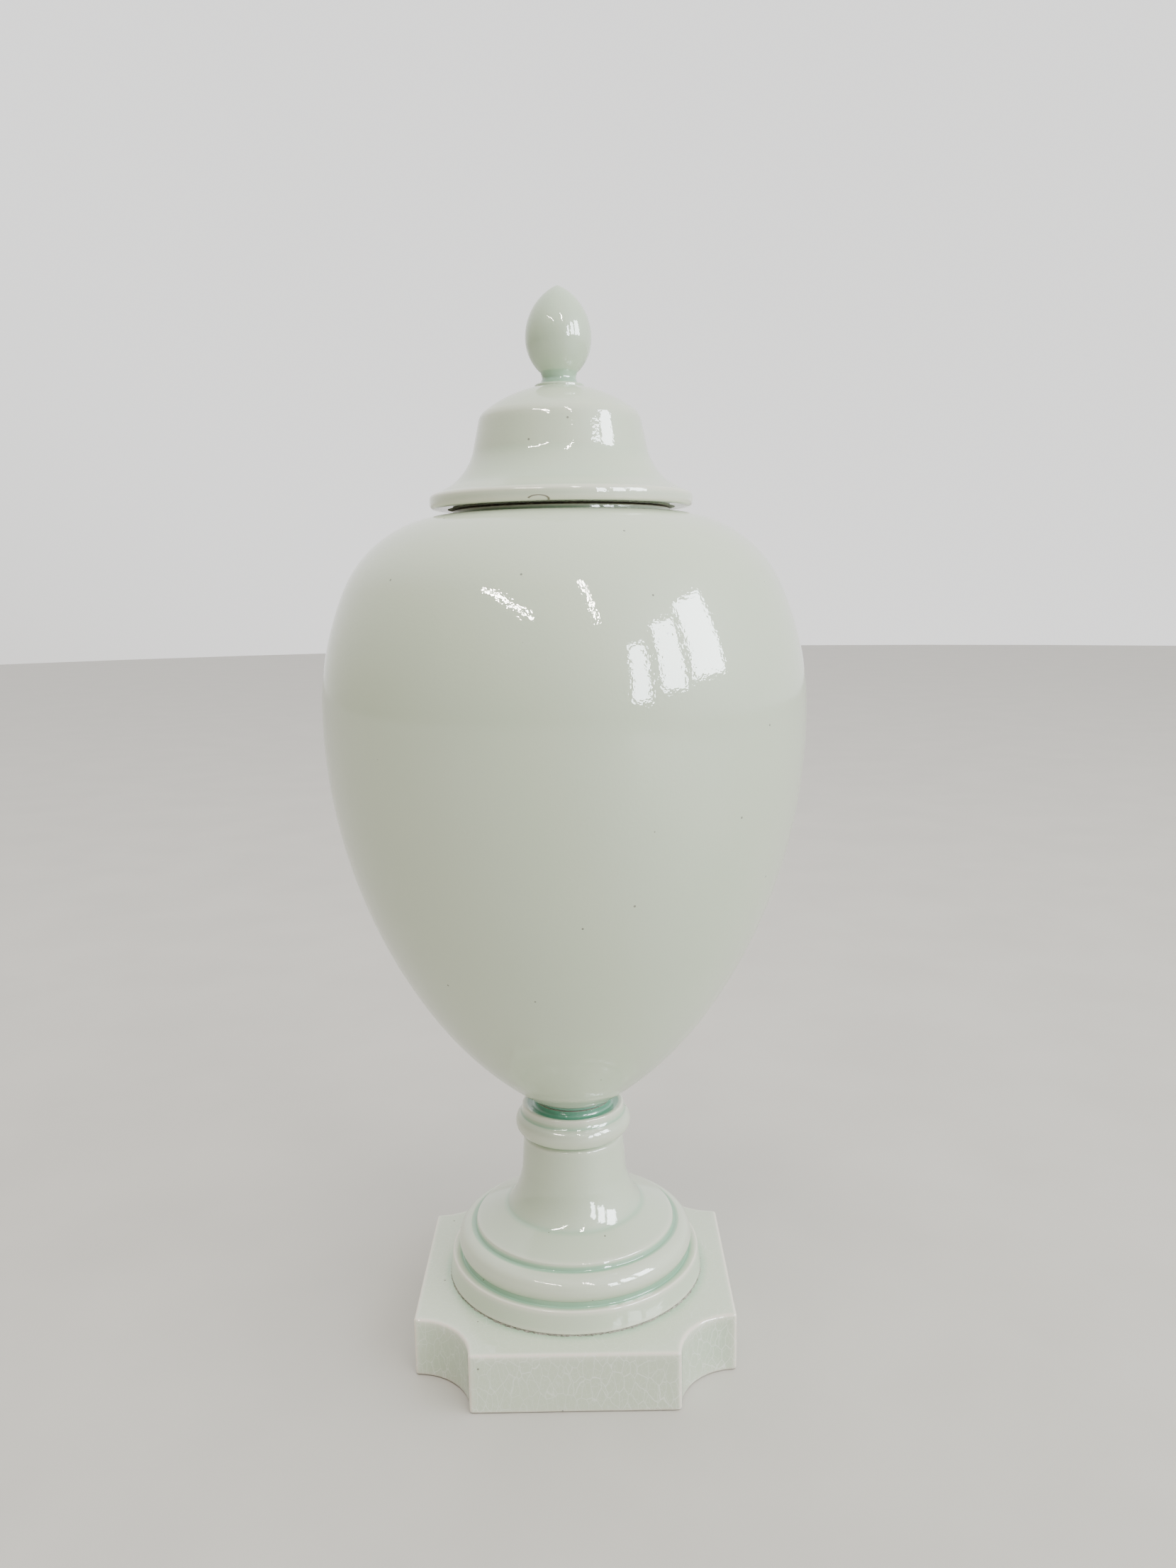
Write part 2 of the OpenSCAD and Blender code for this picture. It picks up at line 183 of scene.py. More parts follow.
# %% Crackle
def crackle_lines(tree, place, strength):
    facing = add(tree, "ShaderNodeSeparateXYZ", Vector=add(tree, "ShaderNodeTexCoord").outputs["Normal"])
    upward = add(tree, "ShaderNodeMapRange", Value=facing.outputs["Z"], i1=0.3, i2=0.9, i3=1.0, i4=0.35).outputs[0]
    wobble = add(tree, "ShaderNodeTexNoise", Vector=place, Scale=cells_per_metre(6), Detail=2.0)
    centred = add(tree, "ShaderNodeVectorMath", {"operation": "SUBTRACT"}, i0=wobble.outputs["Color"],
                  i1=(0.5, 0.5, 0.5))
    bend = add(tree, "ShaderNodeVectorMath", {"operation": "SCALE"}, i0=centred.outputs[0], Scale=0.0022)
    bent = add(tree, "ShaderNodeVectorMath", {"operation": "ADD"}, i0=place, i1=bend.outputs[0])
    upright = add(tree, "ShaderNodeMapping", Vector=bent.outputs[0], Scale=(1.0, 1.0, 0.5))
    total = None
    for size_mm, width, share in ((2.5, 0.037, 0.95), (1.4, 0.05, 0.4)):
        net = add(tree, "ShaderNodeTexVoronoi", {"feature": "DISTANCE_TO_EDGE"}, Vector=upright.outputs[0],
                  Scale=cells_per_metre(size_mm))
        line = add(tree, "ShaderNodeMapRange", Value=net.outputs["Distance"], i1=0.0, i2=width, i3=share, i4=0.0)
        total = line.outputs[0] if total is None else add(
            tree, "ShaderNodeMath", {"operation": "MAXIMUM"}, i0=total, i1=line.outputs[0]).outputs[0]
    patches = add(tree, "ShaderNodeTexNoise", Vector=place, Scale=cells_per_metre(17), Detail=1.0)
    shown = add(tree, "ShaderNodeMapRange", Value=patches.outputs["Fac"], i1=0.35, i2=0.65, i3=0.5 * strength, i4=strength)
    shown = add(tree, "ShaderNodeMath", {"operation": "MULTIPLY"}, i0=upward, i1=shown.outputs[0])
    return add(tree, "ShaderNodeMath", {"operation": "MULTIPLY"}, i0=total, i1=shown.outputs[0]).outputs[0]


# %% [markdown]
# Celadon is a thick, slightly milky iron glaze over white porcelain, fired in a smoky kiln. It runs while it is
# molten: it gathers in hollows, where its green deepens, and pulls away from every sharp edge, where the white body
# shows through with a faint pink. Each vertex carries that as "glaze": 0 for the usual coat, up to 1 where it is
# deep and down to -1 where it is thin. A ramp over it gives the colour, and a clear coat gives the wet shine.

# %% Celadon glaze
GLAZE_STOPS = [
    (0.00, "#ecdcd1"),
    (0.20, "#dfdfce"),
    (0.40, "#cdd5c1"),
    (0.52, "#c4d0b9"),
    (0.64, "#a3c2a6"),
    (0.80, "#64a287"),
    (1.00, "#2f8a70"),
]
ORANGE_PEEL_MM = 0.9
SPECK_SPACING_MM = 9
SPECK_SIZE = 0.034


def flake_line(tree, place, x, z, half_width, height):
    """The brown arch of a small flake on the front of a rim, in millimetres."""
    middle = Vector((x, 0, z)) * MM
    shifted = add(tree, "ShaderNodeVectorMath", {"operation": "SUBTRACT"}, i0=place, i1=middle).outputs[0]
    flat = add(tree, "ShaderNodeVectorMath", {"operation": "MULTIPLY"}, i0=shifted,
               i1=(1 / (half_width * MM), 0, 1 / (height * MM))).outputs[0]
    far = add(tree, "ShaderNodeVectorMath", {"operation": "LENGTH"}, i0=flat).outputs["Value"]
    off = add(tree, "ShaderNodeMath", {"operation": "SUBTRACT"}, i0=far, i1=1.0).outputs[0]
    width = add(tree, "ShaderNodeMath", {"operation": "ABSOLUTE"}, i0=off).outputs[0]
    line = add(tree, "ShaderNodeMapRange", Value=width, i1=0.05, i2=0.18, i3=0.85, i4=0.0).outputs[0]
    depth = add(tree, "ShaderNodeSeparateXYZ", Vector=place).outputs["Y"]
    front = add(tree, "ShaderNodeMath", {"operation": "LESS_THAN"}, i0=depth, i1=-35.3 * MM).outputs[0]
    return add(tree, "ShaderNodeMath", {"operation": "MULTIPLY"}, i0=line, i1=front).outputs[0]


def celadon(name, crackle=0.0, flake=None):
    material, tree = new_tree(name)
    place = add(tree, "ShaderNodeTexCoord").outputs["Object"]
    # On the plinth this value also carries painted shade, in the scoops and in a ring round the foot.
    depth = add(tree, "ShaderNodeAttribute", {"attribute_name": "glaze"}).outputs["Fac"]
    clouds = add(tree, "ShaderNodeTexNoise", Vector=place, Scale=cells_per_metre(38), Detail=3.0).outputs["Fac"]
    uneven = add(tree, "ShaderNodeMath", {"operation": "MULTIPLY_ADD"}, i0=clouds, i1=0.10, i2=0.45)
    height = add(tree, "ShaderNodeMath", {"operation": "MULTIPLY_ADD"}, i0=depth, i1=0.5, i2=uneven.outputs[0])
    colour = add(tree, "ShaderNodeValToRGB", stops=GLAZE_STOPS, Fac=height.outputs[0]).outputs["Color"]

    spots = add(tree, "ShaderNodeTexVoronoi", Vector=place, Scale=cells_per_metre(SPECK_SPACING_MM))
    near = add(tree, "ShaderNodeMath", {"operation": "LESS_THAN"}, i0=spots.outputs["Distance"], i1=SPECK_SIZE)
    shade = add(tree, "ShaderNodeMath", {"operation": "MULTIPLY"}, i0=near.outputs[0], i1=0.75)
    colour = add(tree, "ShaderNodeMix", {"data_type": "RGBA"}, Factor=shade.outputs[0], i6=colour,
                 i7=linear("#5a5a4c")).outputs[2]

    peel = add(tree, "ShaderNodeTexNoise", Vector=place, Scale=cells_per_metre(ORANGE_PEEL_MM), Detail=1.0)
    waves = add(tree, "ShaderNodeTexNoise", Vector=place, Scale=cells_per_metre(14), Detail=1.0)
    surface = add(tree, "ShaderNodeMath", {"operation": "MULTIPLY_ADD"}, i0=waves.outputs["Fac"], i1=2.0,
                  i2=peel.outputs["Fac"]).outputs[0]
    if crackle:
        colour = add(tree, "ShaderNodeMix", {"data_type": "RGBA"}, Factor=crackle_lines(tree, place, crackle),
                     i6=colour, i7=linear("#f1f3ee")).outputs[2]
    if flake:
        colour = add(tree, "ShaderNodeMix", {"data_type": "RGBA"}, Factor=flake_line(tree, place, *flake), i6=colour,
                     i7=linear("#54452c")).outputs[2]
    bump = add(tree, "ShaderNodeBump", Strength=0.12, Distance=0.0002, Height=surface).outputs["Normal"]
    shader = add(tree, "ShaderNodeBsdfPrincipled", Base_Color=colour, Roughness=0.5, IOR=1.3, Coat_Weight=1.0,
                 Coat_IOR=1.6, Coat_Roughness=0.02, Normal=bump, Coat_Normal=bump)
    add(tree, "ShaderNodeOutputMaterial", Surface=shader.outputs["BSDF"])
    return material


celadon_glaze = celadon("celadon_glaze")
crackled_glaze = celadon("crackled_glaze", crackle=0.8)
RIM_FOOT_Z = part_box("urn")[1].z / MM + 0.2
flaked_glaze = celadon("flaked_glaze", flake=(-5.1, RIM_FOOT_Z + 0.3, 2.6, 1.0))
print("glazes made")

# %% [markdown]
# The rest is quiet. Seats and feet are wiped clean of glaze before firing and stay bare, chalky porcelain. A thin
# grey bed of mortar shows as a ragged line under the round foot. Inside are zinc-plated steel and black rubber.

# %% Other finishes
def grainy(name, dark, light, grain_mm, roughness, relief_mm, metallic=0.0):
    material, tree = new_tree(name)
    place = add(tree, "ShaderNodeTexCoord").outputs["Object"]
    grain = add(tree, "ShaderNodeTexNoise", Vector=place, Scale=cells_per_metre(grain_mm), Detail=4.0).outputs["Fac"]
    colour = add(tree, "ShaderNodeValToRGB", stops=[(0.35, dark), (0.65, light)], Fac=grain).outputs["Color"]
    rough = add(tree, "ShaderNodeMapRange", Value=grain, i3=roughness - 0.08, i4=roughness + 0.08).outputs[0]
    bump = add(tree, "ShaderNodeBump", Strength=0.4, Distance=relief_mm * MM, Height=grain).outputs["Normal"]
    shader = add(tree, "ShaderNodeBsdfPrincipled", Base_Color=colour, Roughness=rough, Metallic=metallic, Normal=bump)
    add(tree, "ShaderNodeOutputMaterial", Surface=shader.outputs["BSDF"])
    return material


bare_porcelain = grainy("bare_porcelain", "#cfc8bb", "#e2ddd2", 0.8, 0.75, 0.05)
grey_mortar = grainy("grey_mortar", "#7f7a6f", "#b5b0a5", 0.7, 0.9, 0.1)
black_rubber = grainy("black_rubber", "#141414", "#232323", 1.2, 0.75, 0.05)
# The dark brown seam under the lid's rim is partly dust and partly painted shade of the gap between the rim and the
# shoulder.
seam_dust_and_shade = grainy("seam_dust_and_shade", "#3f382c", "#6a604e", 1.5, 0.85, 0.05)
zinc_steel = grainy("zinc_steel", "#9a9c9f", "#c9cbcd", 3.0, 0.32, 0.01, metallic=1.0)
pale_floor = grainy("pale_floor", "#b9b6b0", "#bebbb5", 60, 0.6, 0.01)
floor.data.materials.append(pale_floor)

# %% [markdown]
# Every round piece is thrown or turned, so it is one outline spun about the upright axis. The outline is drawn as
# a turner's template is cut: straight runs, arcs swung about a centre, and small corners rounded afterwards. Lines
# are new points, arcs are a point spun about the arc's centre, and bevel rounds the marked corners.

# %% Outlines
class Outline:
    """A turning template in the plane of X and Z, in millimetres from the axis and the table."""

    def __init__(self, r, z):
        self.mesh = bmesh.new()
        self.glaze = self.mesh.verts.layers.float.new("glaze")
        self.tip = self.first = self.mesh.verts.new((r * MM, 0, z * MM))
        self.corners = []

    def line(self, r, z, round_mm=0):
        tip = self.mesh.verts.new((r * MM, 0, z * MM))
        if (tip.co - self.tip.co).length < 0.02 * MM:
            self.mesh.verts.remove(tip)
            return
        self.mesh.edges.new((self.tip, tip))
        self.tip = tip
        if round_mm:
            self.corners.append((tip, round_mm * MM))

    def arc(self, centre, radius, start, end, step_mm=1.2):
        """An arc about centre from angle start to angle end, in degrees, 0 pointing outwards and 90 up."""
        self.line(centre[0] + radius * math.cos(math.radians(start)),
                  centre[1] + radius * math.sin(math.radians(start)))
        sweep = math.radians(end - start)
        steps = max(4, round(abs(sweep) * radius / step_mm))
        swung = bmesh.ops.spin(self.mesh, geom=[self.tip], cent=(centre[0] * MM, 0, centre[1] * MM),
                               axis=(0, -1, 0), angle=sweep, steps=steps)
        self.tip = swung["geom_last"][0]

    def close(self):
        self.mesh.edges.new((self.tip, self.first))

    def round_corners(self, step_mm=0.5):
        for vert, radius in self.corners:
            arms = [edge.other_vert(vert).co - vert.co for edge in vert.link_edges]
            inside = arms[0].angle(arms[1])
            reach = min(radius / math.tan(inside / 2), 0.999 * min(arm.length for arm in arms))
            pieces = max(4, round((math.pi - inside) * radius / (step_mm * MM)))
            bmesh.ops.bevel(self.mesh, geom=[vert], offset=reach, affect="VERTICES", segments=min(pieces, 24),
                            profile=0.5, material=-1)

    def divide(self, longest_mm):
        for edge in list(self.mesh.edges):
            cuts = int(edge.calc_length() / (longest_mm * MM))
            if cuts:
                bmesh.ops.subdivide_edges(self.mesh, edges=[edge], cuts=cuts)

    def in_order(self):
        """The points one after the other round the outline."""
        start = min(self.mesh.verts, key=lambda v: len(v.link_edges))
        order, seen = [start], {start}
        while True:
            onward = [e.other_vert(order[-1]) for e in order[-1].link_edges]
            onward = [v for v in onward if v not in seen]
            if not onward:
                return order
            order.append(onward[0])
            seen.add(onward[0])


# %% [markdown]
# Molten glaze levels itself, so its depth can be read off the shape. Each point of the outline is compared with the
# mean of its neighbours along the outline: where that mean lies outside the clay, glaze fills a hollow, and where it
# lies inside, glaze has drawn back from an edge. A narrow mean finds fine edges, a wide one the broad hollows.

# %% Glaze depth
NARROW_MM, NARROW_FULL = 0.8, 0.24
WIDE_MM, WIDE_FULL = 2.6, 1.2
DEEPEST = 0.42


def set_glaze(outline):
    order = outline.in_order()
    points = np.array([(v.co.x, v.co.z) for v in order]) / MM
    steps = np.linalg.norm(np.diff(points, axis=0), axis=1)
    along = np.concatenate([[0], np.cumsum(steps)])
    share = np.gradient(along)
    gaps = np.abs(along[:, None] - along[None, :])
    round_trip = along[-1] + np.linalg.norm(points[-1] - points[0])
    if len(order[0].link_edges) == 2:
        gaps = np.minimum(gaps, round_trip - gaps)
    tangent = np.gradient(points, along, axis=0)
    tangent /= np.linalg.norm(tangent, axis=1)[:, None] + 1e-9
    area = np.sum(points[:, 0] * np.roll(points[:, 1], -1) - np.roll(points[:, 0], -1) * points[:, 1])
    normals = np.stack([tangent[:, 1], -tangent[:, 0]], axis=1) * np.sign(area)
    depth = np.zeros(len(order))
    for reach, full, part in ((NARROW_MM, NARROW_FULL, 0.7), (WIDE_MM, WIDE_FULL, 0.3)):
        weight = np.exp(-(gaps / reach) ** 2) * share[None, :]
        mean = weight @ points / weight.sum(axis=1)[:, None]
        depth += part * ((mean - points) * normals).sum(axis=1) / full
    for vert, value in zip(order, np.clip(depth, -1, DEEPEST)):
        vert[outline.glaze] = value


# %% [markdown]
# Spinning the finished outline once round gives the piece. Points on the axis fall together and are merged into a
# pole. Faces that the potter leaves bare get the second material, and only real corners stay sharp.

# %% Turning
TURN_STEPS = 176
SHARP = math.radians(40)


def finish_piece(name, mesh, body, nodes, materials):
    for face in mesh.faces:
        face.smooth = True
    for edge in mesh.edges:
        if len(edge.link_faces) == 2 and edge.calc_face_angle(0) > SHARP:
            edge.smooth = False
    data = bpy.data.meshes.new(name)
    mesh.to_mesh(data)
    mesh.free()
    piece = bpy.data.objects.new(name, data)
    bpy.context.collection.objects.link(piece)
    for material in materials:
        data.materials.append(material)
    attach(piece, body)
    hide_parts(*nodes)
    print(name, "faces", len(data.polygons), "top", round(max(v.co.z for v in data.vertices) / MM, 2))
    return piece


def turned(outline, bare=None, pool=None, steps=TURN_STEPS):
    outline.round_corners()
    outline.divide(1.3)
    set_glaze(outline)
    for vert in outline.mesh.verts:
        if pool:
            vert[outline.glaze] = max(vert[outline.glaze], pool(vert.co.x / MM, vert.co.z / MM))
    mesh = outline.mesh
    bmesh.ops.spin(mesh, geom=mesh.verts[:] + mesh.edges[:], cent=(0, 0, 0), axis=(0, 0, 1), angle=math.tau,
                   steps=steps, use_merge=True)
    bmesh.ops.remove_doubles(mesh, verts=mesh.verts, dist=0.002 * MM)
    bmesh.ops.recalc_face_normals(mesh, faces=mesh.faces)
    for face in mesh.faces:
        centre = face.calc_center_median() / MM
        if bare:
            face.material_index = bare(math.hypot(centre.x, centre.y), centre.z)
    return mesh


# %% [markdown]
# The plinth is slip-cast: a square block, a quarter round scooped from each corner, hollow underneath. Its outline is
# four arcs, each a point spun about a corner of the square, joined by straight sides. That loop is filled, raised,
# rounded with a bevel, and opened underneath by an inset. It is then sliced finely, so that the glaze depth, worked
# out here from the distance to the nearest edge, can change over a millimetre.

# %% Plinth
plinth_low, plinth_high = (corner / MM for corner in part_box("plinth"))
PLINTH_HALF = plinth_high.x
PLINTH_H = plinth_high.z
SCOOP_R = 17.0
EDGE_ROUND = 1.0
PLINTH_WALL = 6.0
PLINTH_TOP = 5.5
BOLT_HOLE_R = 4.0
BAND_R = 38.2
SLICE_MM = 1.5


def plinth_loop(mesh, half, scoop):
    ends = []
    for quarter in range(4):
        turn = Matrix.Rotation(math.tau * quarter / 4, 3, "Z")
        start = mesh.verts.new(turn @ Vector((half, half - scoop, 0)) * MM)
        swung = bmesh.ops.spin(mesh, geom=[start], cent=turn @ Vector((half, half, 0)) * MM, axis=(0, 0, 1),
                               angle=-math.tau / 4, steps=28)
        ends.append((start, swung["geom_last"][0]))
    for (_, last), (first, _) in zip(ends, ends[1:] + ends[:1]):
        mesh.edges.new((last, first))
    return mesh.edges[:]


def pierce(mesh, faces, radius_mm):
    """A round hole between two level faces: each is filled again around a circle, and the circles are bridged."""
    rims = []
    for face in faces:
        height = face.calc_center_median().z
        border = face.edges[:]
        bmesh.ops.delete(mesh, geom=[face], context="FACES_ONLY")
        circle = bmesh.ops.create_circle(mesh, radius=radius_mm * MM, segments=48,
                                         matrix=Matrix.Translation((0, 0, height)))["verts"]
        rim = list({edge for vert in circle for edge in vert.link_edges})
        rims += rim
        bmesh.ops.triangle_fill(mesh, edges=border + rim, use_beauty=True)
    bmesh.ops.bridge_loops(mesh, edges=rims)


def plinth_glaze_and_shade(place):
    """Thin near every edge. Deeper and greener in the scoops, which is partly pooled glaze and mostly painted shade,
    and in a ring round the foot, which is painted shade.
    """
    x, y, z = (abs(c) / MM for c in place)
    walls = (PLINTH_HALF - x, PLINTH_HALF - y, PLINTH_H - z, z,
             math.hypot(PLINTH_HALF - x, PLINTH_HALF - y) - SCOOP_R)
    nearest, second = sorted(abs(wall) for wall in walls)[:2]
    depth = -0.05 - 0.95 * math.exp(-(second / 0.9) ** 2)
    # In the scoops the glaze is made deeper and greener. This is partly glaze pooling there, and mostly painted shade
    # of the concave corners.
    if nearest == abs(walls[4]):
        depth += 0.12 * (1 - math.exp(-(second / 2.5) ** 2))
    # A ring on the top round the foot is made deeper and greener: painted shade where the foot stands on the plinth.
    if nearest == abs(walls[2]):
        depth += 0.30 * math.exp(-((math.hypot(x, y) - BAND_R) / 2.0) ** 2)
    return max(-1.0, min(1.0, depth))


mesh = bmesh.new()
loop = plinth_loop(mesh, PLINTH_HALF, SCOOP_R)
base = bmesh.ops.contextual_create(mesh, geom=loop)["faces"][0]
raised = bmesh.ops.extrude_face_region(mesh, geom=[base], use_keep_orig=True)
lifted = [v for v in raised["geom"] if isinstance(v, bmesh.types.BMVert)]
bmesh.ops.translate(mesh, verts=lifted, vec=(0, 0, PLINTH_H * MM))
bmesh.ops.recalc_face_normals(mesh, faces=mesh.faces)
crisp = [e for e in mesh.edges if e.calc_face_angle(0) > SHARP]
bmesh.ops.bevel(mesh, geom=crisp, offset=EDGE_ROUND * MM, affect="EDGES", segments=5, profile=0.5, material=-1)
under = min(mesh.faces, key=lambda f: (f.calc_center_median().z, -f.calc_area()))
bmesh.ops.inset_region(mesh, faces=[under], thickness=(PLINTH_WALL - EDGE_ROUND) * MM, use_even_offset=True)
sunk = bmesh.ops.extrude_face_region(mesh, geom=[under, *under.edges])
bmesh.ops.translate(mesh, verts=[v for v in sunk["geom"] if isinstance(v, bmesh.types.BMVert)],
                    vec=(0, 0, (PLINTH_H - PLINTH_TOP) * MM))
print("PLINTH faces", len(mesh.faces), "open edges", sum(len(e.link_faces) != 2 for e in mesh.edges))

slab_faces = [f for f in mesh.faces if f.calc_area() > (30 * MM) ** 2 and abs(f.normal.z) > 0.9
              and f.calc_center_median().z > 5 * MM]
pierce(mesh, slab_faces, BOLT_HOLE_R)
for step in range(1, round(2 * PLINTH_HALF / SLICE_MM)):
    for axis in range(2):
        place, across = Vector((0, 0, 0)), Vector((0, 0, 0))
        place[axis] = (-PLINTH_HALF + step * SLICE_MM) * MM
        across[axis] = 1
        bmesh.ops.bisect_plane(mesh, geom=mesh.verts[:] + mesh.edges[:] + mesh.faces[:], plane_co=place,
                               plane_no=across, dist=0.01 * MM)
for step in range(1, round(PLINTH_H / SLICE_MM)):
    bmesh.ops.bisect_plane(mesh, geom=mesh.verts[:] + mesh.edges[:] + mesh.faces[:],
                           plane_co=(0, 0, step * SLICE_MM * MM), plane_no=(0, 0, 1), dist=0.01 * MM)
bmesh.ops.recalc_face_normals(mesh, faces=mesh.faces)
glaze_layer = mesh.verts.layers.float.new("glaze")
for vert in mesh.verts:
    vert[glaze_layer] = plinth_glaze_and_shade(vert.co)
inner_half = PLINTH_HALF - PLINTH_WALL + 0.2
for face in mesh.faces:
    centre = face.calc_center_median() / MM
    hollow = max(abs(centre.x), abs(centre.y)) < inner_half and centre.z < PLINTH_H - 1 and math.hypot(
        PLINTH_HALF - abs(centre.x), PLINTH_HALF - abs(centre.y)) > SCOOP_R + PLINTH_WALL - 0.4
    if hollow or centre.z < 0.25:
        face.material_index = 1
print("PLINTH sliced", len(mesh.faces), "open edges", sum(len(e.link_faces) != 2 for e in mesh.edges))
finish_piece("plinth_glazed", mesh, "vessel", ["plinth"], [crackled_glaze, bare_porcelain])

# %% [markdown]
# The pedestal is one hollow turning: a foot band, a large round moulding in a groove, a thin edge, a shallow cone, a
# stem that sweeps up from a crease like a trumpet, a ring, and a collar in the recess under the urn.

# %% Pedestal
PEDESTAL_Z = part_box("pedestal")[0].z / MM
COLLAR_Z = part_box("pedestal")[1].z / MM
BAND_TOP = (BAND_R - 1.0, PEDESTAL_Z + 6.6)
TORUS_R = 4.3
TORUS_C = (BAND_TOP[0] - 2.0 - TORUS_R, BAND_TOP[1] - 0.8 + TORUS_R)
FOOT_HOLLOW_R = BAND_TOP[0] - 2.0 - 4.6
FILLET = (29.6, TORUS_C[1] + TORUS_R + 1.7)
CREASE = (20.4, FILLET[1] + 4.3)
STEM_R = 14.9
STEM_FOOT = (STEM_R + 1.15, CREASE[1] + 5.2)
STEM_SWEEP = 19.5
LIP = (14.75, COLLAR_Z - 1.2)
RING_R = 3.5
RING_C = (17.2 - RING_R, LIP[1] - 5.6)
STEM_TOP = RING_C[1] - RING_R
COLLAR_R = 11.4

pedestal = Outline(FOOT_HOLLOW_R, PEDESTAL_Z)
pedestal.line(BAND_R, PEDESTAL_Z, 0.4)
pedestal.line(*BAND_TOP, 0.5)
pedestal.line(TORUS_C[0] + TORUS_R - 0.9, BAND_TOP[1] - 0.8, 0.3)
pedestal.arc(TORUS_C, TORUS_R, -40, 85, 0.6)
pedestal.line(FILLET[0] + 0.6, TORUS_C[1] + TORUS_R - 0.2, 0.3)
pedestal.line(*FILLET, 0.5)
pedestal.line(*CREASE, 1.5)
pedestal.line(*STEM_FOOT, STEM_SWEEP)
pedestal.line(STEM_R, STEM_TOP - 1, 0.6)
pedestal.arc(RING_C, RING_R, -88, 58, 0.5)
pedestal.line(LIP[0] + 0.5, LIP[1] - 1.6, 0.3)
pedestal.line(LIP[0] + 0.3, LIP[1] - 0.1, 0.4)
pedestal.line(LIP[0] - 0.3, LIP[1], 0.3)
pedestal.line(COLLAR_R, LIP[1] - 0.8, 0.8)
pedestal.line(COLLAR_R, COLLAR_Z)
pedestal.line(BOLT_HOLE_R, COLLAR_Z)
pedestal.line(BOLT_HOLE_R, STEM_TOP, 1)
pedestal.line(STEM_R - 4.6, STEM_TOP - 4, 3)
pedestal.line(STEM_FOOT[0] - 4.6, STEM_FOOT[1] - 1.5, 12)
pedestal.line(CREASE[0] - 4.14, CREASE[1] - 4.6, 2)
pedestal.line(FILLET[0] - 4.6, FILLET[1] - 4.6, 3)
pedestal.line(FOOT_HOLLOW_R, TORUS_C[1] - TORUS_R, 1)
pedestal.close()


def pedestal_bare(r, z):
    return z < PEDESTAL_Z + 0.05 or z > COLLAR_Z - 0.05 or r < BOLT_HOLE_R + 0.1


def pedestal_pool(r, z):
    if LIP[0] - 0.6 > r > COLLAR_R - 0.1 and LIP[1] - 1 < z:
        return 0.6
    if FILLET[0] - 0.1 < r < FILLET[0] + 2 and FILLET[1] - 1.9 < z < FILLET[1] - 0.7:
        return 0.3
    return -1


finish_piece("pedestal_glazed", turned(pedestal, pedestal_bare, pedestal_pool), "vessel", ["pedestal"],
             [celadon_glaze, bare_porcelain])

# %% [markdown]
# The bed of mortar squeezed out from under the foot and was wiped off by hand, so its edge is ragged. A spun ring's
# outer points are pushed in and out by a seeded draw, the same on every run.

# %% Foot bed
BED_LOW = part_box("foot_bed")[0].z / MM
bed = Outline(FOOT_HOLLOW_R, BED_LOW)
bed.line(BAND_R - 0.1, BED_LOW)
bed.line(BAND_R - 0.1, PEDESTAL_Z)
bed.line(FOOT_HOLLOW_R, PEDESTAL_Z)
bed.close()
mesh = turned(bed, steps=440)
ragged = np.random.default_rng(7)
for vert in mesh.verts:
    radius = math.hypot(vert.co.x, vert.co.y)
    if radius > (BAND_R - 1) * MM:
        push = 1 + ragged.uniform(-0.35, 0.30) * MM / radius
        vert.co.x *= push
        vert.co.y *= push
finish_piece("foot_bed_mortar", mesh, "vessel", ["foot_bed"], [grey_mortar])

# %% [markdown]
# The urn is thrown in one piece. From a sharp little base edge its side swells in two arcs to the belly, and two more
# arcs bring it over the shoulder to the mouth. The inside runs parallel, one wall in, down to a flat floor. The seat
# around the mouth was wiped bare, so that the lid would not stick to it.

# %% Urn
URN_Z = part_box("urn")[0].z / MM
MOUTH_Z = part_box("urn")[1].z / MM
BELLY_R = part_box("urn")[1].x / MM
BELLY_Z = URN_Z + 115.9
BASE_EDGE = Vector((13.9, URN_Z + 1.8))
URN_WALL = 4.5
FLOOR_Z = URN_Z + 7.0
MOUTH_R = 26.0
SEAT_R = 30.0
LOWER_R, LOWER_TURN = 153.0, 34.0
SIDE_R, SIDE_TURN = 86.0, 23.5
SHOULDER_R = 33.5


def from_centre(centre, radius, degrees):
    return Vector(centre) + radius * Vector((math.cos(math.radians(degrees)), math.sin(math.radians(degrees))))


LOWER_C = Vector((BELLY_R - LOWER_R, BELLY_Z))
SIDE_C = Vector((BELLY_R - SIDE_R, BELLY_Z))
SHOULDER_C = from_centre(SIDE_C, SIDE_R - SHOULDER_R, SIDE_TURN)
# The curve that runs in to the base takes the one radius that meets both the lower side and the base edge
handover = from_centre((0, 0), 1, -LOWER_TURN)
to_edge = BASE_EDGE - LOWER_C
IN_R = (to_edge.dot(to_edge) - 2 * LOWER_R * to_edge.dot(handover) + LOWER_R ** 2) / (
    2 * (LOWER_R - to_edge.dot(handover)))
IN_C = LOWER_C + (LOWER_R - IN_R) * handover
IN_TURN = math.degrees(math.asin((IN_C.y - BASE_EDGE.y) / IN_R))
SHOULDER_END = math.degrees(math.acos((SEAT_R - SHOULDER_C.x) / SHOULDER_R))
inner_turn = math.degrees(math.asin((IN_C.y - FLOOR_Z) / (IN_R - URN_WALL)))
inner_shoulder = SHOULDER_R - URN_WALL

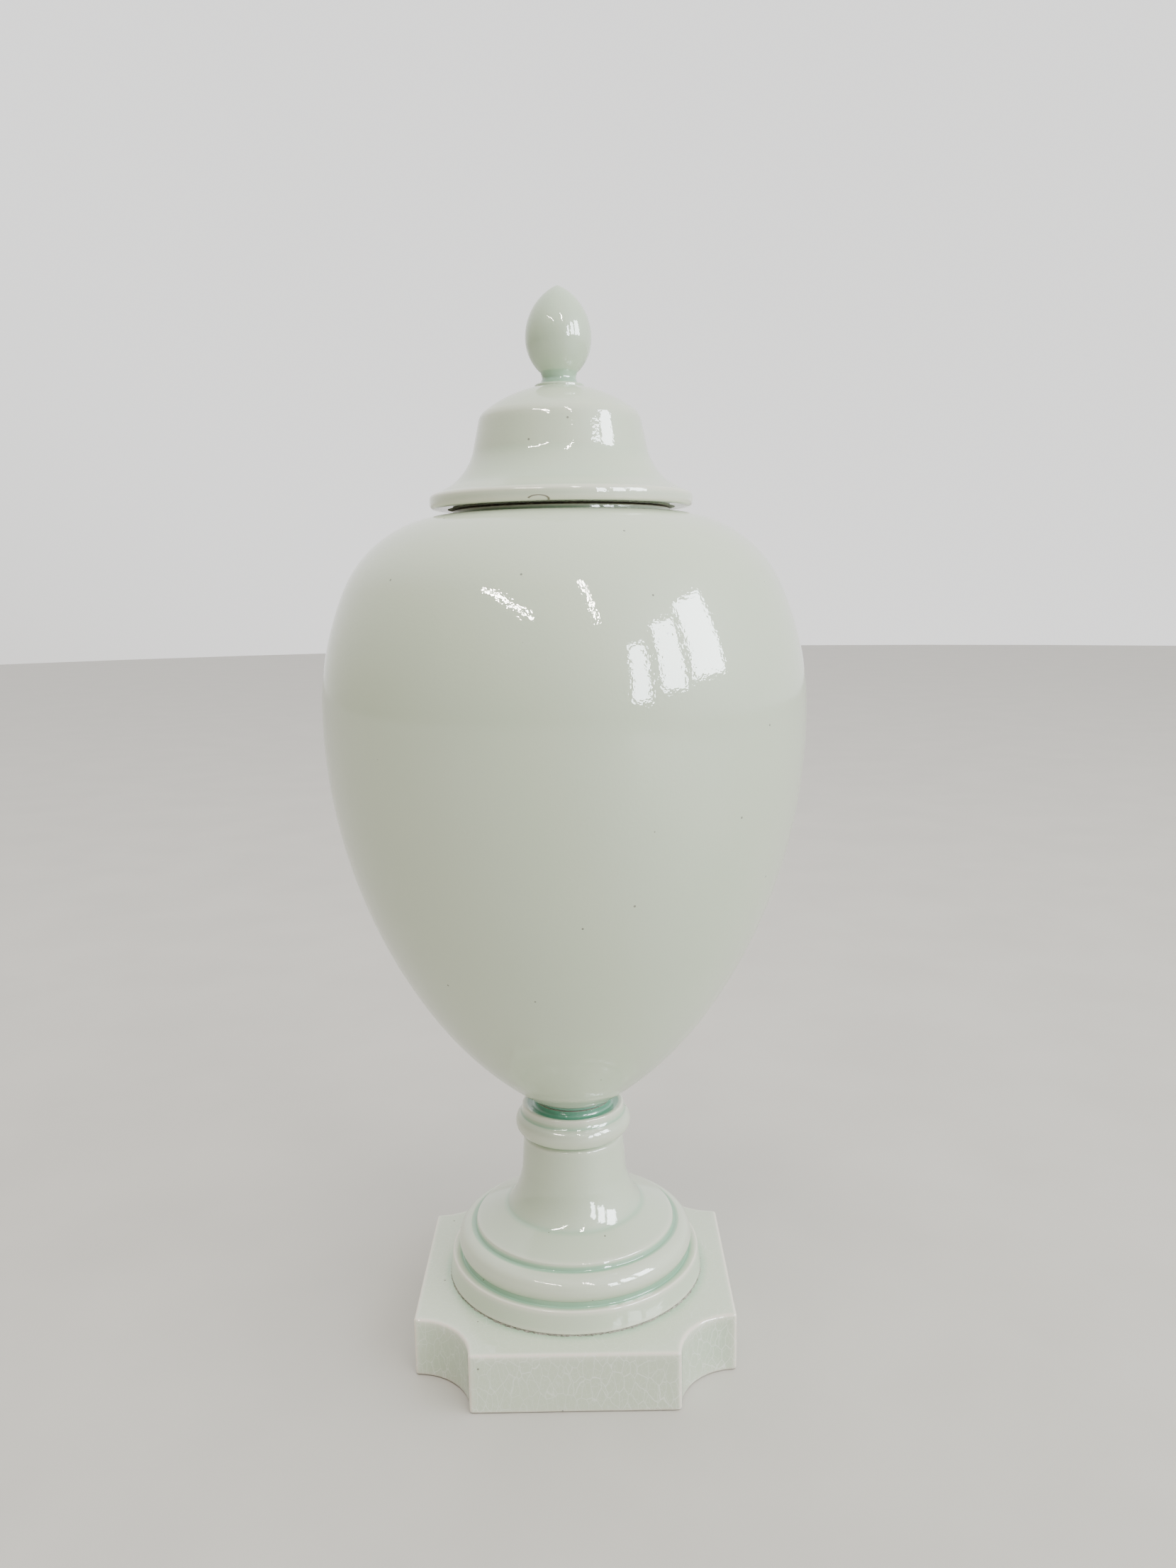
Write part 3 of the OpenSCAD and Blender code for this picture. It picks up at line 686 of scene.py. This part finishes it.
urn = Outline(COLLAR_R, URN_Z)
urn.line(COLLAR_R, BASE_EDGE.y - 0.6, 0.5)
urn.arc(IN_C, IN_R, -IN_TURN, -LOWER_TURN)
urn.arc(LOWER_C, LOWER_R, -LOWER_TURN, 0)
urn.arc(SIDE_C, SIDE_R, 0, SIDE_TURN)
urn.arc(SHOULDER_C, SHOULDER_R, SIDE_TURN, SHOULDER_END)
urn.line(SEAT_R, MOUTH_Z, 0.4)
urn.line(MOUTH_R, MOUTH_Z, 0.4)
urn.line(MOUTH_R, SHOULDER_C.y + inner_shoulder, 0.8)
urn.arc(SHOULDER_C, inner_shoulder, 84, SIDE_TURN)
urn.arc(SIDE_C, SIDE_R - URN_WALL, SIDE_TURN, 0)
urn.arc(LOWER_C, LOWER_R - URN_WALL, 0, -LOWER_TURN)
urn.arc(IN_C, IN_R - URN_WALL, -LOWER_TURN, 2 - inner_turn)
urn.line(IN_C.x + (IN_R - URN_WALL) * math.cos(math.radians(inner_turn)), FLOOR_Z, 2)
urn.line(BOLT_HOLE_R, FLOOR_Z)
urn.line(BOLT_HOLE_R, URN_Z)
urn.close()


def urn_bare(r, z):
    # The top outer corner of the seat gets the dark seam: dust and painted shade under the lid's rim.
    if z > MOUTH_Z - 0.7 and r > SEAT_R - 0.6:
        return 2
    return int((z > MOUTH_Z - 0.35) or z < URN_Z + 0.05 or r < BOLT_HOLE_R + 0.1)


def urn_pool(r, z):
    return 0.6 if r < BASE_EDGE.x - 0.5 and z < BASE_EDGE.y else -1


finish_piece("urn_glazed", turned(urn, urn_bare, urn_pool), "vessel", ["urn"],
             [celadon_glaze, bare_porcelain, seam_dust_and_shade])

# %% [markdown]
# The lid is a small bell: a rolled rim, a flare that sweeps up into a steep side, a soft shoulder, and a domed crown.
# A bare flange under it keeps it in the mouth.

# %% Lid
SEAT_Z = MOUTH_Z + 0.2
FLANGE_H = SEAT_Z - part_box("lid")[0].z / MM
CROWN_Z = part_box("lid")[1].z / MM
RIM_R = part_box("lid")[1].x / MM
RIM_T = 3.6
FLANGE_R = MOUTH_R - 0.8
FLANGE_IN = FLANGE_R - 3.4
FLARE = (25.4, SEAT_Z + 9.1)
BELL_R = 22.0
CROWN_R = 34.0
CROWN_FLAT = 7.4
LID_WALL = 4.0
STUB_R = 3.0
crown_c = (0, CROWN_Z - math.sqrt(CROWN_R ** 2 - CROWN_FLAT ** 2))
bell_z = crown_c[1] + math.sqrt(CROWN_R ** 2 - BELL_R ** 2)
inner_crown = CROWN_R - LID_WALL


def crown_angle(r, radius):
    return math.degrees(math.acos(r / radius))


lid = Outline(FLANGE_IN, SEAT_Z - FLANGE_H)
lid.line(FLANGE_R, SEAT_Z - FLANGE_H, 0.6)
lid.line(FLANGE_R, SEAT_Z)
lid.line(RIM_R, SEAT_Z, 1.2)
lid.line(RIM_R, SEAT_Z + RIM_T, 1.2)
lid.line(RIM_R - 2, SEAT_Z + RIM_T + 0.6, 0.5)
lid.line(*FLARE, 14)
lid.line(BELL_R, bell_z, 3.5)
lid.arc(crown_c, CROWN_R, crown_angle(BELL_R - 1.5, CROWN_R), crown_angle(CROWN_FLAT, CROWN_R), 0.8)
lid.line(STUB_R, CROWN_Z)
lid.arc(crown_c, inner_crown, crown_angle(STUB_R, inner_crown),
        crown_angle(BELL_R - LID_WALL - 1.5, inner_crown))
lid.line(BELL_R - LID_WALL, bell_z - LID_WALL, 1)
lid.line(FLANGE_IN, FLARE[1], 14)
lid.close()


def lid_bare(r, z):
    return z < SEAT_Z + 0.1 and r < SEAT_R + 1.5


finish_piece("lid_glazed", turned(lid, lid_bare), "cover", ["lid"], [flaked_glaze, bare_porcelain])

# %% [markdown]
# The finial is a bud on a short neck and a small disc, made on its own and stuck to the crown with slip. It was dipped
# once more than the rest, so its glaze is a little deeper all over.

# %% Finial
FINIAL_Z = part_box("finial")[1].z / MM
STUB_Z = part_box("finial")[0].z / MM
BUD_R = 9.05
BUD_Z = CROWN_Z + 13.0
BUD_LOW_R = 12.0
DISC_R = 6.8
NECK_R = 4.6
bud_rise = FINIAL_Z - BUD_Z
bud_top_r = (bud_rise ** 2 + BUD_R ** 2) / (2 * BUD_R)

finial = Outline(0, STUB_Z)
finial.line(STUB_R, STUB_Z)
finial.line(STUB_R, CROWN_Z)
finial.line(DISC_R, CROWN_Z)
finial.line(DISC_R, CROWN_Z + 0.8, 0.4)
finial.line(NECK_R + 0.6, CROWN_Z + 1.2, 0.5)
finial.line(NECK_R, CROWN_Z + 2.4, 1)
finial.arc((BUD_R - BUD_LOW_R, BUD_Z), BUD_LOW_R,
           -crown_angle(NECK_R + 0.4 + BUD_LOW_R - BUD_R, BUD_LOW_R), 0, 0.6)
finial.arc((BUD_R - bud_top_r, BUD_Z), bud_top_r, 0, 0.94 * math.degrees(math.asin(bud_rise / bud_top_r)), 0.6)
finial.line(0, FINIAL_Z)
def finial_pool(r, z):
    return 0.12


finish_piece("finial_glazed", turned(finial, pool=finial_pool, steps=128), "cover", ["finial"], [celadon_glaze])

# %% [markdown]
# The tie bolt and its nut are zinc-plated M6 hardware. The head and the nut start as six-sided cones with equal ends,
# whose corners a bevel turns off. The thread is a row of ridges a pitch apart, which at this size looks the same as a
# true spiral. The nut's bore is pierced as the plinth's was.

# %% Bolt and nut
HEX_ACROSS = 10.0
CHAMFER = 0.45
PITCH = 1.0
THREAD_LENGTH = 16
bolt_low, bolt_high = (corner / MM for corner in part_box("tie_bolt"))
nut_low, nut_high = (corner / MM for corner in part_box("tie_nut"))
BOLT_R = 3.0
HEAD_H = 4.0


def hexagon(mesh, low, high):
    radius = HEX_ACROSS / 2 / math.cos(math.pi / 6) * MM
    verts = bmesh.ops.create_cone(mesh, cap_ends=True, segments=6, radius1=radius, radius2=radius,
                                  depth=(high - low) * MM,
                                  matrix=Matrix.Translation((0, 0, (low + high) / 2 * MM)))["verts"]
    caps = {edge for vert in verts for edge in vert.link_edges if abs(edge.verts[0].co.z - edge.verts[1].co.z) < 1e-6}
    bmesh.ops.bevel(mesh, geom=list(caps), offset=CHAMFER * MM, affect="EDGES", segments=2, profile=0.5, material=-1)


bolt = Outline(0, bolt_low.z)
bolt.line(BOLT_R - 0.6, bolt_low.z)
for turn in range(THREAD_LENGTH):
    bolt.line(BOLT_R - 0.45, bolt_low.z + 0.1 + turn * PITCH)
    bolt.line(BOLT_R, bolt_low.z + 0.6 + turn * PITCH)
bolt.line(BOLT_R, bolt_high.z - HEAD_H + 1)
bolt.line(0, bolt_high.z - HEAD_H + 1)
mesh = turned(bolt, steps=48)
hexagon(mesh, bolt_high.z - HEAD_H, bolt_high.z)
finish_piece("tie_bolt_zinc", mesh, "vessel", ["tie_bolt"], [zinc_steel])

mesh = bmesh.new()
hexagon(mesh, nut_low.z, nut_high.z)
pierce(mesh, [f for f in mesh.faces if abs(f.normal.z) > 0.99 and f.calc_area() > (5 * MM) ** 2], BOLT_R + 0.05)
bmesh.ops.recalc_face_normals(mesh, faces=mesh.faces)
finish_piece("tie_nut_zinc", mesh, "vessel", ["tie_nut"], [zinc_steel])

# %% [markdown]
# The washers, their soft pads and the gasket are plain flat rings, and the model's own shapes are right for them. They
# only need their materials.

# %% Washers, pads and gasket
for node, material in (("washers", zinc_steel), ("bolt_pads", black_rubber), ("neck_gasket", black_rubber)):
    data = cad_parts[node].data
    data.materials.clear()
    data.materials.append(material)
print("rings dressed")
